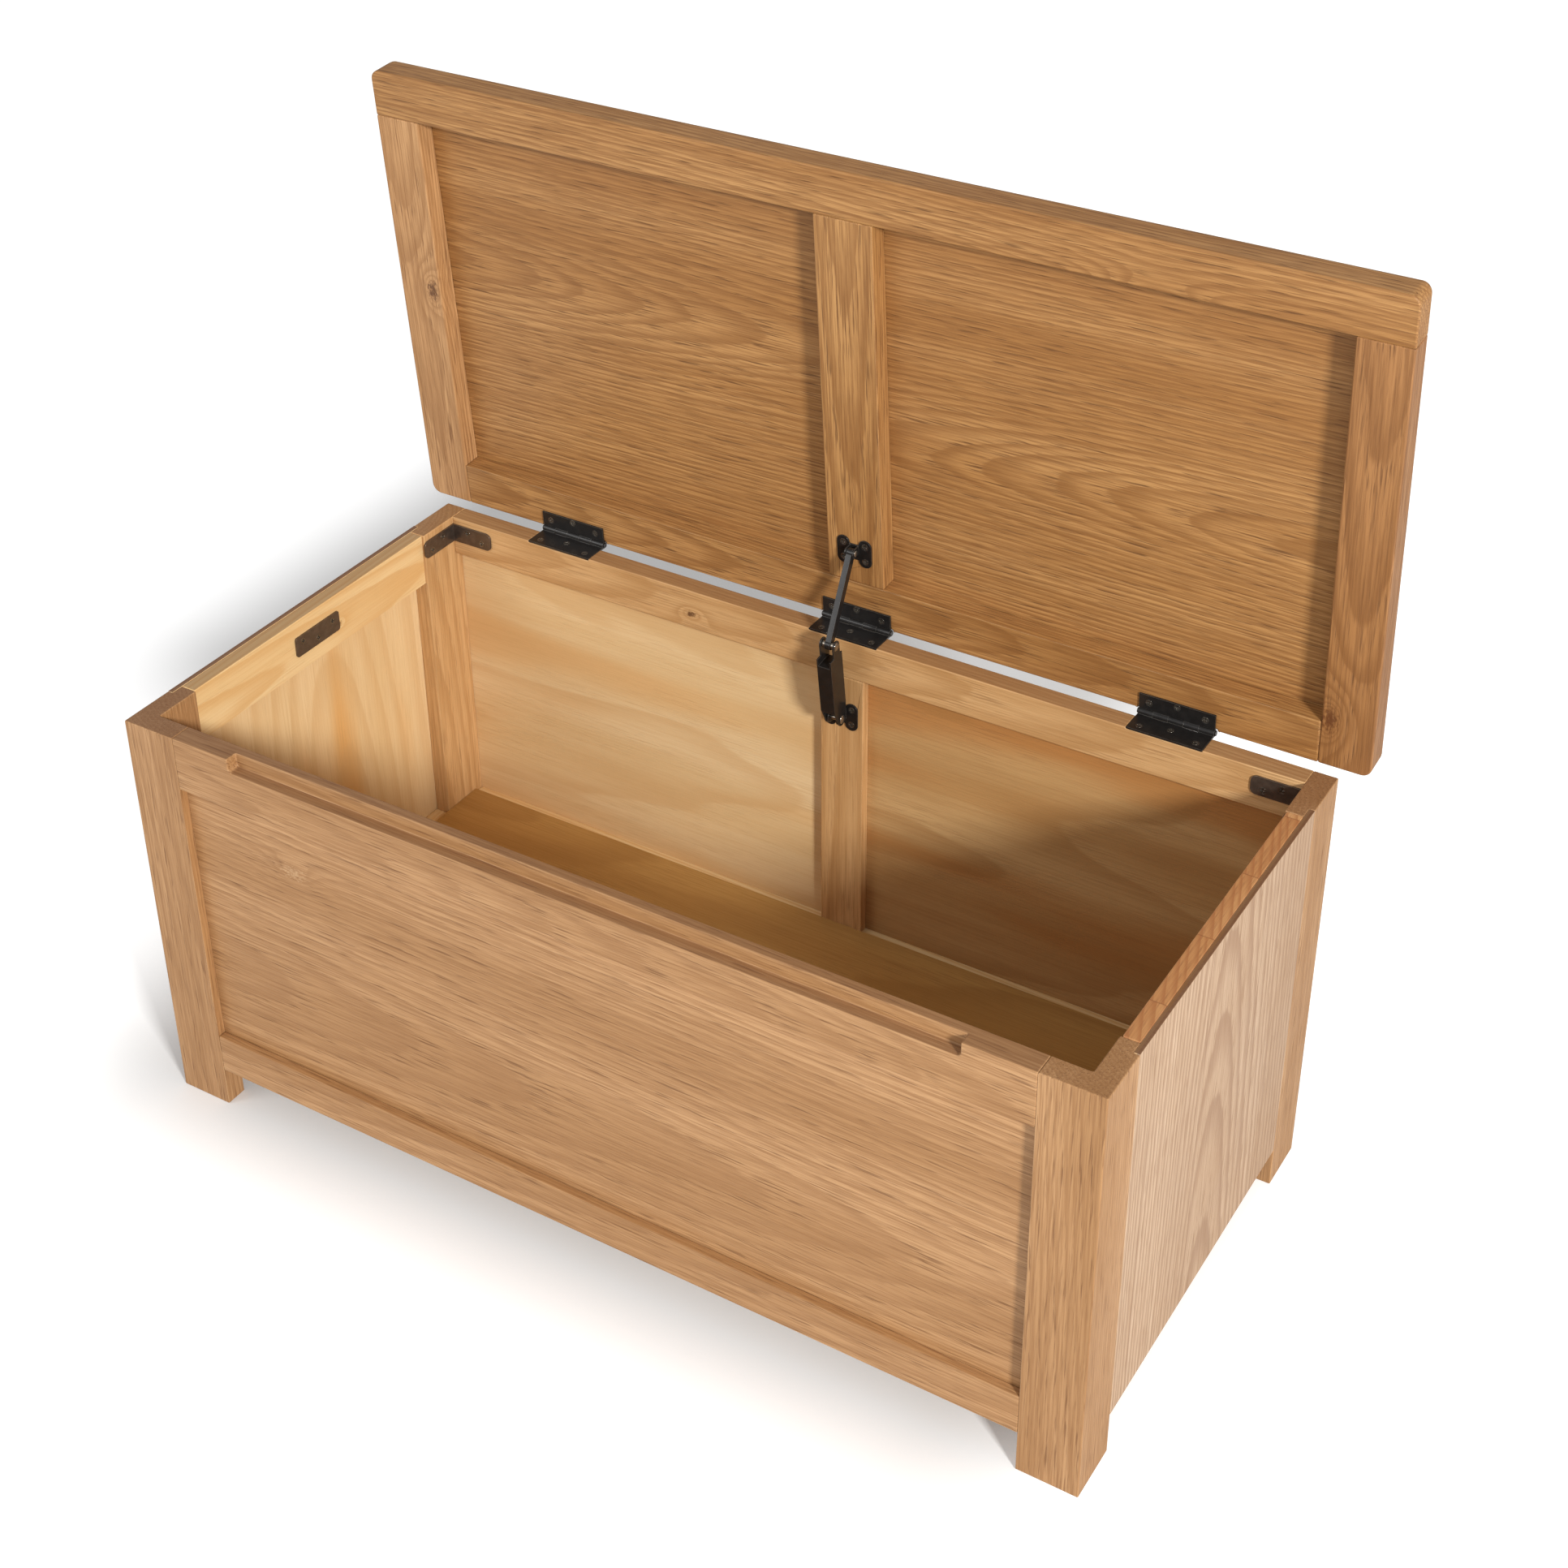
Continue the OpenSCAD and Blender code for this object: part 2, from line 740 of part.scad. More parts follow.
module stay_housing() {
    inside = housing_half - sheet;
    color("darkslategray") at_housing() difference() {
        union() {
            for (s = [-1, 1]) on_side(s) translate([inside, 0, 0]) rotate([90, 0, 90])
                linear_extrude(sheet) housing_side();
            block([-inside - eps, housing_front, web_low], [inside + eps, housing_front + sheet, web_top]);
            for (z = [seat_low, web_top - sheet])
                block([-inside - eps, housing_front + eps, z], [inside + eps, housing_back - sheet, z + sheet]);
        }
        for (z = [0, housing_l]) translate([0, 0, z]) rotate([0, 90, 0])
            cylinder(r = rivet_r + rivet_gap, h = 2 * housing_w, center = true);
    }
}

// The spring's wire: rings of points that climb round the housing's axis
function spring_ring(i) =
    let (turn = 360 * i / spring_steps,
        z = spring_low + (spring_top - spring_low) * i / (spring_turns * spring_steps))
    [for (k = [0:spring_sides - 1])
        let (a = 360 * k / spring_sides, r = spring_r + spring_wire_r * cos(a))
        [r * cos(turn), r * sin(turn), z + spring_wire_r * sin(a)]];

module stay_spring() {
    rings = spring_turns * spring_steps;
    points = [for (i = [0:rings]) each spring_ring(i)];
    sides = [for (i = [0:rings - 1], k = [0:spring_sides - 1])
        let (a = i * spring_sides + k, b = i * spring_sides + (k + 1) % spring_sides)
        [a, a + spring_sides, b + spring_sides, b]];
    ends = [[for (k = [0:spring_sides - 1]) k],
        [for (k = [spring_sides - 1:-1:0]) rings * spring_sides + k]];
    color("silver") at_housing() polyhedron(points, concat(sides, ends));
}

module stay_elbow_rivet() {
    collar_r = 3.6;
    collar_in = arm_w / 2 + 0.1;
    collar_out = housing_half - sheet - rivet_gap;
    color("silver") at_housing() translate([0, 0, housing_l]) {
        rivet(rivet_r, housing_half, rivet_head_r);
        for (s = [0, 180]) rotate([0, 90, s]) translate([0, 0, collar_in])
            cylinder(r = collar_r, h = collar_out - collar_in);
    }
}

// Arm: a channel, open towards the lid, with the elbow at the origin
module stay_arm() {
    color("darkslategray") placed() translate([0, pivot_elbow[0], pivot_elbow[1]])
        rotate([arm_tilt, 0, 0]) rotate([90, 0, 90]) difference() {
            translate([0, 0, -arm_w / 2]) linear_extrude(arm_w) {
                circle(arm_end_r);
                translate([0, arm_l]) circle(arm_tip_r);
                translate([-arm_half_d, 0]) square([2 * arm_half_d, arm_l]);
            }
            translate([-arm_half_d + arm_wall, arm_end_r + 4, -arm_w / 2 + arm_wall])
                cube([3 * arm_half_d, arm_l - 2 * arm_end_r - 8, arm_w - 2 * arm_wall]);
            cylinder(r = rivet_r + rivet_gap, h = 2 * arm_w, center = true);
            translate([0, arm_l, 0]) cylinder(r = lid_rivet_r + lid_slack, h = 2 * arm_w, center = true);
        }
}

front_left_post();
front_right_post();
back_left_post();
back_right_post();
front_top_rail();
front_bottom_rail();
front_panel();
back_top_rail();
back_bottom_rail();
back_middle_stile();
back_left_panel();
back_right_panel();
left_top_rail();
right_top_rail();
left_bottom_rail();
right_bottom_rail();
left_side_panel();
right_side_panel();
floor_panel();
front_floor_batten();
back_floor_batten();
left_hinge_box_leaf();
middle_hinge_box_leaf();
right_hinge_box_leaf();
left_hinge_pin();
middle_hinge_pin();
right_hinge_pin();
hinge_box_screws();
back_left_brace();
back_right_brace();
brace_screws();
left_plate();
right_plate();
plate_screws();
stay_box_bracket();
stay_box_screws();
stay_box_rivet();
lid_front_rail();
lid_back_rail();
lid_left_stile();
lid_right_stile();
lid_middle_stile();
lid_left_panel();
lid_right_panel();
left_hinge_lid_leaf();
middle_hinge_lid_leaf();
right_hinge_lid_leaf();
hinge_lid_screws();
stay_lid_bracket();
stay_lid_screws();
stay_lid_rivet();
stay_housing();
stay_spring();
stay_elbow_rivet();
stay_arm();
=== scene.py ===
# %% [markdown]
# # A toy box in oak
# The box is a frame-and-panel chest: solid oak posts and rails hold thin panels in grooves, and a framed
# lid stands open on three black butt hinges and a folding stay. Every wooden piece already has its true
# shape and place in the frame, so the work here is to ease its edges, give each board its own grain, and
# light it.

# %% Load the frame
import json
import math

import bpy
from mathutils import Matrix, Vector

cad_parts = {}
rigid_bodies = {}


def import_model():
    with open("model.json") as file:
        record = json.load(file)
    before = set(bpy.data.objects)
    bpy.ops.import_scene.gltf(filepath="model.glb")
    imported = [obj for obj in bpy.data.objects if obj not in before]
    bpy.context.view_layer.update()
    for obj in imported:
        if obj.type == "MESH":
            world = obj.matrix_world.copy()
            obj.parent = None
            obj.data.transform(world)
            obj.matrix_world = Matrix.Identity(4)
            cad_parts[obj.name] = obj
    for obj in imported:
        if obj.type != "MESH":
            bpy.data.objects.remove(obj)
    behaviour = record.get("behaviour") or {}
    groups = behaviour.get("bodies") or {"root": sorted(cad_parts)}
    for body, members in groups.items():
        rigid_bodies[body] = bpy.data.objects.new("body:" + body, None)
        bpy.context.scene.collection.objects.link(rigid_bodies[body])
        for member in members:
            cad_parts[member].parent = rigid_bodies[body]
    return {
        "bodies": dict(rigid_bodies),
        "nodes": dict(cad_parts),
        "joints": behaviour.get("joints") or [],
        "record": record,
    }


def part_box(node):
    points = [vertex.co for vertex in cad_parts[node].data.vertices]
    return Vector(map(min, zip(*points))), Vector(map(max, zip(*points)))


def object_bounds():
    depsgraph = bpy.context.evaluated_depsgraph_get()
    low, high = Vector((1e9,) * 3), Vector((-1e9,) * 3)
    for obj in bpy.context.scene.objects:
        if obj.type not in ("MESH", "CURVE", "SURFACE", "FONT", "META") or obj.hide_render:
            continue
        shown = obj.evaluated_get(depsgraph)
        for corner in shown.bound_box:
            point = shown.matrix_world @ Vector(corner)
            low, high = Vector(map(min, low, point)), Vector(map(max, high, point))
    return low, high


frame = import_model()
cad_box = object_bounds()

nodes = frame["nodes"]

# %% [markdown]
# ## Places that everything else needs
# The lid's own directions come from its hinge: the joint's travel is how far the lid stands open, so
# turning a point by that angle about the hinge line puts it where it would be with the lid shut. Grain on
# the lid is laid out in that closed place, where the boards run square to the axes.

# %% Hinge line and open angle
MM = 0.001
joints = {joint["name"]: joint for joint in frame["joints"]}
hinge = joints["lid_hinge"]
hinge_point = Vector(hinge["pos_m"])
open_angle = math.radians(max(hinge["range_deg"]))
lid_nodes = {name for name in nodes if nodes[name].parent == frame["bodies"]["lid"]}
print("the lid stands open", round(math.degrees(open_angle), 1), "degrees and has", len(lid_nodes), "pieces")

# %% [markdown]
# ## Small helpers for shader nodes
# A material is a graph. These helpers keep the graphs short: add makes any node and fills its inputs, and
# the others are shortcuts that hand back a node's result. An input can be given a plain value or a socket,
# so sums can be nested.

# %% Node helpers
def fill(tree, node, inputs):
    for key, value in inputs.items():
        if isinstance(value, bpy.types.NodeSocket):
            tree.links.new(value, node.inputs[key])
        else:
            node.inputs[key].default_value = value


def add(tree, kind, inputs=None, **settings):
    node = tree.nodes.new("ShaderNode" + kind)
    for name, value in settings.items():
        setattr(node, name, value)
    fill(tree, node, inputs or {})
    return node


def calc(tree, operation, a, b=0.0, clamp=False):
    return add(tree, "Math", {0: a, 1: b}, operation=operation, use_clamp=clamp).outputs[0]


def calc_vector(tree, operation, a, b):
    return add(tree, "VectorMath", {0: a, 1: b}, operation=operation).outputs[0]


def length_of(tree, vector):
    return add(tree, "VectorMath", {0: vector}, operation="LENGTH").outputs["Value"]


def parts_of(tree, vector):
    return add(tree, "SeparateXYZ", {0: vector}).outputs


def remap(tree, value, low, high, to_low=0.0, to_high=1.0):
    """Carry a value from one range to another with soft ends."""
    return add(tree, "MapRange", {0: value, 1: low, 2: high, 3: to_low, 4: to_high},
               interpolation_type="SMOOTHSTEP").outputs[0]


def blend_colour(tree, mask, a, b):
    return add(tree, "Mix", {0: mask, 6: a, 7: b}, data_type="RGBA").outputs[2]


print("node helpers ready")

# %% [markdown]
# ## Noise, and noise pulled out along the grain
# Wood changes slowly along a board and quickly across it. Multiplying the place by a small number along the
# grain and a large one across it stretches the noise into streaks, fibres or pores.

# %% Noise helpers
def noise(tree, vector, scale, detail=2.0, roughness=0.5):
    return add(tree, "TexNoise", {"Vector": vector, "Scale": scale, "Detail": detail,
                                  "Roughness": roughness}).outputs[0]


def stretched(tree, vector, along, across):
    return calc_vector(tree, "MULTIPLY", vector, (along, across, across))


def swing(tree, value, amount):
    """A noise of 0 to 1 turned into a push to either side."""
    return calc(tree, "MULTIPLY", calc(tree, "SUBTRACT", value, 0.5), amount)


def tint(red, green, blue):
    """A colour given as it looks on a screen, 0 to 255, as the renderer's linear colour."""
    def linear(level):
        level /= 255
        return level / 12.92 if level <= 0.04045 else ((level + 0.055) / 1.055) ** 2.4
    return (linear(red), linear(green), linear(blue), 1.0)


print("white is", tint(255, 255, 255)[:3])

# %% [markdown]
# ## Shader node groups
# A figure or a wear mask is wanted in dozens of materials. A node group is built once, with named inputs,
# and each material places it with its own values.

# %% Group helpers
def new_group(name, inputs, outputs):
    """An empty shader node group with named sockets. Returns its tree, its inputs and its output node."""
    tree = bpy.data.node_groups.new(name, "ShaderNodeTree")
    for label, kind, default in inputs:
        socket = tree.interface.new_socket(label, in_out="INPUT", socket_type="NodeSocket" + kind)
        socket.default_value = default
    for label, kind in outputs:
        tree.interface.new_socket(label, in_out="OUTPUT", socket_type="NodeSocket" + kind)
    ends = tree.nodes.new("NodeGroupInput"), tree.nodes.new("NodeGroupOutput")
    return tree, ends[0].outputs, ends[1].inputs


def use_group(tree, group, inputs):
    node = tree.nodes.new("ShaderNodeGroup")
    node.node_tree = group
    fill(tree, node, inputs)
    return node.outputs


print("group helpers ready")

# %% [markdown]
# ## The figure of a board
# A board is a slice of a tree, so its figure is a slice of growth rings. The group works in the board's own
# directions, X along the grain and Z through its face. A wave texture would be quicker, but it is a flat
# pattern: rings cut from a real heart line also meet up round the edges and ends of the same board. The
# group's lengths are in metres. A knot, a width or a length that a board doesn't have is put out of reach.

# %% Figure group: its sockets
OUT_OF_REACH = (9, 9, 9)
UNCUT = 20.0
figure, given, made = new_group(
    "board_figure",
    [("Vector", "Vector", (0, 0, 0)), ("Ring Width", "Float", 0.006), ("Heart Depth", "Float", 0.2),
     ("Heart Side", "Float", 0.0), ("Lean", "Float", 0.05), ("Wobble", "Float", 0.01),
     ("Knot Place", "Vector", OUT_OF_REACH), ("Knot Size", "Float", 0.0), ("Board Width", "Float", UNCUT),
     ("Board Length", "Float", UNCUT), ("Cut Spread", "Float", 0.0), ("Seed", "Float", 0.0)],
    [("Late Wood", "Float"), ("Pores", "Float"), ("Fibre", "Float"), ("Streak", "Float"),
     ("Knot", "Float"), ("Board", "Float"), ("Seam", "Float")])
apart = parts_of(figure, given["Vector"])
print("figure group takes", len(given) - 1, "inputs")

# %% [markdown]
# ## Boards glued side by side
# A wide panel is glued up from narrow boards. Counting boards across and along gives each its own number,
# and white noise turns that number into a jump to another part of the tree. The seams are the lines between
# them.

# %% Figure group: glued boards and their seams
ROW_STEP, SEED_STEP = 17.0, 41.0    # keep the numbers of neighbours and of other pieces apart
TREE_SPAN = 3.0                     # metres of tree that the cuts are taken from
SEAM_FADE, SEAM_CORE = 0.0010, 0.0003
HALF = 0.5


def count_boards(along_axis, size):
    return calc(figure, "ADD", calc(figure, "DIVIDE", along_axis, size), HALF)


def to_seam(count, size):
    return calc(figure, "MULTIPLY", calc(figure, "PINGPONG", count, HALF), size)


beside = count_boards(apart[1], given["Board Width"])
endwise = count_boards(apart[0], given["Board Length"])
row_number = calc(figure, "MULTIPLY", calc(figure, "FLOOR", endwise), ROW_STEP)
number = calc(figure, "ADD", calc(figure, "FLOOR", beside), row_number)
number = calc(figure, "ADD", number, calc(figure, "MULTIPLY", given["Seed"], SEED_STEP))
chance = add(figure, "TexWhiteNoise", {"W": number}, noise_dimensions="1D").outputs
nearest = calc(figure, "MINIMUM", to_seam(beside, given["Board Width"]),
               to_seam(endwise, given["Board Length"]))
seam = remap(figure, nearest, SEAM_FADE, SEAM_CORE)
jump = calc_vector(figure, "MULTIPLY", chance["Color"], (TREE_SPAN, 0.0, 0.0))
vector = calc_vector(figure, "ADD", given["Vector"], jump)
print("seams fade out over", SEAM_FADE / MM, "mm")

# %% [markdown]
# ## Knots
# A knot is a branch cut through. It is dark and cracked at its core and pulls the rings aside for a few of
# its own sizes. Its reach is measured less along the grain than across it, so it comes out as a long oval.

# %% Figure group: the knot
KNOT_SHAPE = (0.55, 1, 0.35)
KNOT_PULL = 2.2
CRACK_PACE, CRACK_DEPTH = (220.0, 420.0, 220.0), 2.4
KNOT_RIM, KNOT_CORE = 0.75, 0.15

from_knot = calc_vector(figure, "SUBTRACT", given["Vector"], given["Knot Place"])
reach = calc_vector(figure, "MULTIPLY", from_knot, KNOT_SHAPE)
never_zero = calc(figure, "ADD", given["Knot Size"], 0.00001)
near = calc(figure, "DIVIDE", length_of(figure, reach), never_zero)
crack = noise(figure, calc_vector(figure, "MULTIPLY", given["Vector"], CRACK_PACE), 1.0, 3.0, 0.7)
core = calc(figure, "ADD", near, swing(figure, crack, CRACK_DEPTH))
pull = calc(figure, "DIVIDE", 1.0, calc(figure, "ADD", 1.0, calc(figure, "MULTIPLY", near, near)))
pull = calc(figure, "MULTIPLY", pull, calc(figure, "MULTIPLY", given["Knot Size"], KNOT_PULL))
print("a knot pulls the rings by", KNOT_PULL, "of its sizes")

# %% [markdown]
# ## Rings
# Each spot's distance from the tree's heart says how old the tree was there. A heart far below the face
# draws straight lines, and a near one that leans through the board draws cathedral arches. Slow noise makes
# the heart wander and the years differ in width, so that no line is ruled.

# %% Figure group: rings round a wandering heart
RIPPLE = 0.0016
YEAR_PACE, YEAR_SWING = 0.37, 1.6

wander = swing(figure, noise(figure, stretched(figure, vector, 1.5, 7.0), 1.0, 2.0, 0.4), given["Wobble"])
ripple = swing(figure, noise(figure, stretched(figure, vector, 22.0, 90.0), 1.0, 2.0), RIPPLE)
lean = calc(figure, "MULTIPLY", apart[0], given["Lean"])
across = calc(figure, "SUBTRACT", apart[1], given["Heart Side"])
other_cut = swing(figure, chance["Value"], given["Cut Spread"])
depth = calc(figure, "ADD", calc(figure, "ADD", apart[2], given["Heart Depth"]),
             calc(figure, "ADD", lean, other_cut))
radius = length_of(figure, add(figure, "CombineXYZ", {0: 0.0, 1: across, 2: depth}).outputs[0])
radius = calc(figure, "ADD", radius, calc(figure, "ADD", wander, ripple))
radius = calc(figure, "ADD", radius, pull)
rings = calc(figure, "DIVIDE", radius, given["Ring Width"])
years = noise(figure, add(figure, "CombineXYZ", {0: rings}).outputs[0], YEAR_PACE, 1.0)
ring = calc(figure, "FRACT", calc(figure, "ADD", rings, calc(figure, "MULTIPLY", years, YEAR_SWING)))
late = calc(figure, "MULTIPLY", remap(figure, ring, 0.30, 0.86), remap(figure, ring, 1.0, 0.90))
early = calc(figure, "MAXIMUM", remap(figure, ring, 0.40, 0.05), remap(figure, ring, 0.90, 1.0))
print("ripples are up to", RIPPLE / 2 / MM, "mm")

# %% [markdown]
# ## Pores and fibres
# Oak's pores are short dark dashes, densest in the early wood of each ring. Fibres are finer and
# everywhere, and slow streaks shift the tone over a hand's width.

# %% Figure group: pores, fibres and streaks
PORES_ANYWHERE, PORES_IN_EARLY_WOOD = 0.35, 0.65

pore = remap(figure, noise(figure, stretched(figure, vector, 24.0, 640.0), 1.0, 2.0, 0.6), 0.50, 0.66)
gathered = calc(figure, "ADD", PORES_ANYWHERE, calc(figure, "MULTIPLY", early, PORES_IN_EARLY_WOOD))
fibre = noise(figure, stretched(figure, vector, 10.0, 520.0), 1.0, 4.0, 0.7)
streak = noise(figure, stretched(figure, vector, 1.0, 15.0), 1.0, 4.0, 0.55)
for label, socket in {"Late Wood": late, "Pores": calc(figure, "MULTIPLY", pore, gathered), "Fibre": fibre,
                      "Streak": streak, "Knot": remap(figure, core, KNOT_RIM, KNOT_CORE),
                      "Board": chance["Value"], "Seam": seam}.items():
    figure.links.new(socket, made[label])
print("figure group has", len(figure.nodes), "nodes")

# %% [markdown]
# ## Handling wear
# Lacquered edges are rubbed paler where hands and lids touch them, and faces get faint smudges. A Bevel
# node sees how far the surface turns within a couple of millimetres, which marks the edges of any shape
# without painting them by hand. The group puts out only masks.

# %% Wear node group
EDGE_FAINT, EDGE_FULL = 0.995, 0.82    # how alike the turned and true normals are
PATCH_SCALE, SMUDGE_SCALE = 60.0, 7.0

wear, given, made = new_group(
    "edge_wear", [("Vector", "Vector", (0, 0, 0)), ("Reach", "Float", 1.5 * MM)],
    [("Edge", "Float"), ("Smudge", "Float")])
turned = add(wear, "Bevel", {"Radius": given["Reach"]}, samples=4).outputs[0]
facing = add(wear, "NewGeometry").outputs["Normal"]
likeness = add(wear, "VectorMath", {0: turned, 1: facing}, operation="DOT_PRODUCT").outputs["Value"]
patchy = remap(wear, noise(wear, given["Vector"], PATCH_SCALE, 3.0), 0.3, 0.6, 0.35, 1.0)
wear.links.new(calc(wear, "MULTIPLY", remap(wear, likeness, EDGE_FAINT, EDGE_FULL), patchy), made["Edge"])
wear.links.new(noise(wear, given["Vector"], SMUDGE_SCALE, 4.0), made["Smudge"])
print("wear group has", len(wear.nodes), "nodes")

# %% [markdown]
# ## Tones of the woods
# Each wood is four tones, as they look on a screen: two for the slow streaks, one for late wood and fibres,
# and one for pores. The last three numbers say how strongly late wood, fibres and pores are drawn. The
# outside is oak; the inner rails are pine, and the back, the floor and the side panels' inner faces
# are ply.

# %% Wood tones
def wood_tone(light, dark, late, pore, line, fibre, pores):
    return {"light": tint(*light), "dark": tint(*dark), "late": tint(*late), "pore": tint(*pore),
            "line": line, "fibre": fibre, "pores": pores}


TONES = {
    "oak": wood_tone((196, 152, 107), (174, 130, 85), (148, 104, 62), (108, 69, 37), 0.40, 0.60, 0.70),
    "lid_oak": wood_tone((194, 146, 91), (168, 119, 66), (134, 88, 44), (92, 56, 26), 0.55, 0.64, 0.78),
    "stile_oak": wood_tone((174, 124, 76), (150, 103, 58), (124, 80, 41), (88, 54, 26), 0.55, 0.62, 0.70),
    "pale_stile": wood_tone((212, 166, 116), (188, 140, 92), (150, 104, 60), (110, 70, 36), 0.50, 0.60, 0.70),
    "pale_oak": wood_tone((205, 175, 145), (188, 156, 125), (154, 118, 88), (134, 98, 68), 0.75, 0.48, 0.62),
    "golden": wood_tone((222, 180, 128), (204, 158, 105), (172, 124, 72), (136, 92, 50), 0.45, 0.45, 0.40),
    "red_pine": wood_tone((224, 174, 120), (198, 142, 90), (164, 102, 60), (126, 72, 44), 0.60, 0.35, 0.30),
    "pine": wood_tone((240, 210, 158), (232, 194, 136), (216, 166, 102), (184, 130, 76), 0.55, 0.25, 0.12),
    "ply": wood_tone((238, 208, 160), (228, 194, 142), (210, 166, 110), (184, 138, 88), 0.40, 0.24, 0.18),
    # The next tone, used only on the box's floor, is darker and more saturated than the other ply: painted
    # shade for a floor deep inside the box.
    "shaded_floor_ply": wood_tone((196, 152, 88), (180, 134, 72), (156, 110, 54), (126, 86, 42), 0.45, 0.30, 0.25),
    # The next tone, used only on the right back panel, is darker than the other ply: painted shade where the
    # right side wall keeps the lamp off.
    "shaded_ply": wood_tone((206, 168, 116), (188, 146, 94), (162, 116, 66), (134, 90, 48), 0.45, 0.30, 0.25),
}
print(len(TONES), "woods:", ", ".join(TONES))

# %% [markdown]
# ## Directions of the grain
# A board's order names the axes along its grain, across its face and through it: "zxy" is an upright board
# that faces the front. Lid boards are first turned back to their closed place.

# %% Grain directions
def grain_place(tree, order, on_lid):
    place = add(tree, "TexCoord").outputs["Object"]
    if on_lid:
        place = add(tree, "VectorRotate", {"Vector": place, "Center": hinge_point, "Angle": open_angle},
                    rotation_type="X_AXIS").outputs[0]
    axes = dict(zip("xyz", parts_of(tree, place)))
    return add(tree, "CombineXYZ", {0: axes[order[0]], 1: axes[order[1]], 2: axes[order[2]]}).outputs[0]


print("grain runs along the first axis of a board's order")

# %% [markdown]
# ## One board's colour
# The tones are laid over each other as on the real board: streaks, a cloud of heartwood where the board has
# one, late wood, fibres, pores, the knot, and last the dark glue lines.

# %% Grain colour
KNOT_BROWN = tint(84, 46, 22)
NOT_GLUED = UNCUT / MM
GLUED_SPREAD = 0.12    # metres by which the cuts of glued boards differ in depth
SEAM_DARKNESS = 0.45


def grain_colour(tree, place, tone, seed, ring=6.0, heart=200.0, side=0.0, lean=0.05, wobble=10.0, knot=None,
                 knot_size=0.0, knot_tone=KNOT_BROWN, knot_depth=0.85, width=NOT_GLUED, length=NOT_GLUED,
                 uneven=0.0, heartwood=None):
    """One board's colour and its figure's outputs. Lengths are in millimetres."""
    colours = TONES[tone]
    glued = min(width, length) < NOT_GLUED
    look = use_group(tree, figure, {
        "Vector": place, "Seed": float(seed), "Ring Width": ring * MM, "Heart Depth": heart * MM,
        "Heart Side": side * MM, "Lean": lean, "Wobble": wobble * MM, "Board Width": width * MM,
        "Board Length": length * MM, "Cut Spread": GLUED_SPREAD if glued else 0.0,
        "Knot Place": OUT_OF_REACH if knot is None else [k * MM for k in knot], "Knot Size": knot_size * MM})
    board_shift = swing(tree, look["Board"], uneven)
    tone_mask = calc(tree, "ADD", remap(tree, look["Streak"], 0.32, 0.68), board_shift, clamp=True)
    colour = blend_colour(tree, tone_mask, colours["light"], colours["dark"])
    if heartwood is not None:
        warm, spread = heartwood
        cloud = noise(tree, stretched(tree, place, 1.7, 11.0), 1.0, 2.0)
        colour = blend_colour(tree, remap(tree, cloud, 0.5 - spread, 0.68 - spread), colour, warm)
    lines = calc(tree, "MULTIPLY", look["Late Wood"], colours["line"])
    colour = blend_colour(tree, lines, colour, colours["late"])
    fibres = remap(tree, look["Fibre"], 0.40, 0.64, 0.0, colours["fibre"])
    colour = blend_colour(tree, fibres, colour, colours["late"])
    dashes = calc(tree, "MULTIPLY", look["Pores"], colours["pores"])
    colour = blend_colour(tree, dashes, colour, colours["pore"])
    if knot is not None:
        colour = blend_colour(tree, calc(tree, "MULTIPLY", look["Knot"], knot_depth), colour, knot_tone)
    if glued:
        seams = calc(tree, "MULTIPLY", look["Seam"], SEAM_DARKNESS)
        colour = blend_colour(tree, seams, colour, colours["pore"])
    return colour, look


print("glued boards are cut up to", GLUED_SPREAD / 2 / MM, "mm deeper or shallower")

# %% [markdown]
# ## Wood as a material
# Each board gets its own material from one recipe, so that no two neighbours share a figure. To the board's
# colour the recipe adds painted shade, which darkens the faces that point up, and paler worn edges. The
# lacquer is thin and satin: a middling roughness that fibres, pores and smudges break up, over pores that
# sink a little.

# %% Wood recipe
GLOSS = 0.46
# The first colour is painted shade for faces that point up; the second is the pale tone of worn edges.
TOP_SHADE_BROWN, WORN_OAK = tint(112, 74, 48), tint(236, 206, 164)
WEAR_STRENGTH = 0.30
INNER_SEED_STEP = 40    # an inner veneer has its own figure, far from the outer face's


def lacquer_roughness(tree, look, worn):
    rough = remap(tree, look["Fibre"], 0.3, 0.7, GLOSS - 0.05, GLOSS + 0.08)
    rough = calc(tree, "ADD", rough, calc(tree, "MULTIPLY", look["Pores"], 0.15))
    return calc(tree, "ADD", rough, remap(tree, worn["Smudge"], 0.3, 0.7, -0.03, 0.05))


